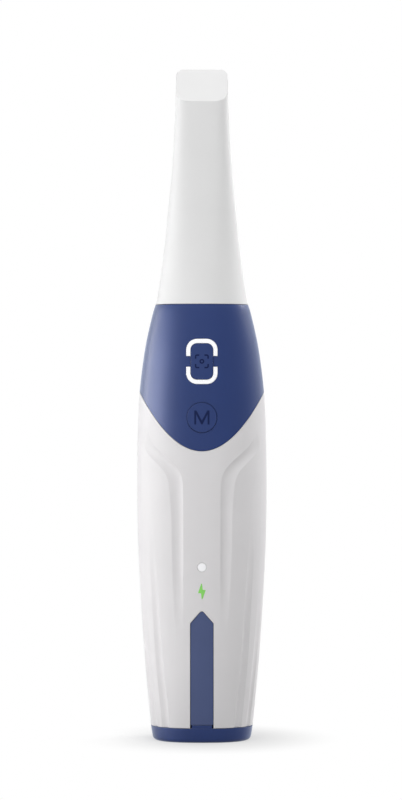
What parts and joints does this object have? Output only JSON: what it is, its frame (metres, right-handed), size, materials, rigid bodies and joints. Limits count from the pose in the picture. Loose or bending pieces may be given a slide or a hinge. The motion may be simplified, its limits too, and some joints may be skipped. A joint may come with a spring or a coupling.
{
  "type": "intraoral scanner",
  "caption": "Cordless hand-held intraoral scanner with a tapered mirror tip, a button cover, a relieved grip barrel and a slide-out battery foot.",
  "frame": {"origin": "centre of the flat base", "axes": "+Z from the base to the tip, -Y is the button side"},
  "size_m": [0.0454, 0.0372, 0.2345],
  "materials": {
    "white_shell": "satin",
    "tip_shell": "satin",
    "blue_shell": "satin",
    "strip": "matt",
    "light_ring": "satin, translucent white",
    "seal_rubber": "matt",
    "inner_plastic": "matt",
    "cell_wrap": "satin",
    "gold_contact": "plated",
    "board": "satin",
    "lamp": "satin",
    "bench_metal": "machined",
    "screw_steel": "plain",
    "optics_body": "matt black",
    "chip": "matt",
    "clear_glass": "polished",
    "mirror_glass": "polished"
  },
  "bodies": {
    "battery_pack": {"base_cap": "blue_shell", "base_seal": "seal_rubber", "battery_case": "inner_plastic", "battery_cell": "cell_wrap", "battery_spine": "strip", "battery_top_cap": "inner_plastic", "battery_contacts": "gold_contact", "battery_board": "board"},
    "handle": {"handle_barrel": "white_shell", "nose_cover": "blue_shell", "light_guide": "light_ring", "status_lens": "light_ring", "snout_seal": "seal_rubber", "bay_liner": "inner_plastic", "contact_block": "inner_plastic", "snout": "inner_plastic", "scan_switch": "inner_plastic", "mode_switch": "inner_plastic", "spring_contacts": "gold_contact", "status_board": "board", "button_board": "board", "main_board": "board", "button_flex": "board", "wifi_antenna": "board", "status_leds": "lamp", "ring_leds": "lamp", "chassis": "bench_metal", "heat_spreader": "bench_metal", "chassis_screws": "screw_steel", "board_screws": "screw_steel", "projector_module": "optics_body", "left_camera": "optics_body", "right_camera": "optics_body", "board_chips": "chip", "projector_lens": "clear_glass", "snout_window": "clear_glass"},
    "tip": {"tip_sleeve": "tip_shell", "tip_mirror": "mirror_glass"},
    "scan_key": {"scan_button": "blue_shell", "scan_plunger": "inner_plastic"},
    "mode_key": {"mode_button": "blue_shell", "mode_plunger": "inner_plastic"}
  },
  "joints": [
    {"name": "battery_release", "type": "slide", "parent": "battery_pack", "child": "handle", "axis": [0, 0, 1], "range_m": [0, 0.075]},
    {"name": "tip_pull", "type": "slide", "parent": "handle", "child": "tip", "axis": [0, 0, 1], "range_m": [0, 0.06]},
    {"name": "scan_press", "type": "slide", "parent": "handle", "child": "scan_key", "axis": [0, 1, 0], "range_m": [0, 0.0005], "stiffness_N_per_m": 1500},
    {"name": "mode_press", "type": "slide", "parent": "handle", "child": "mode_key", "axis": [0, 1, 0], "range_m": [0, 0.0005], "stiffness_N_per_m": 1500}
  ]
}
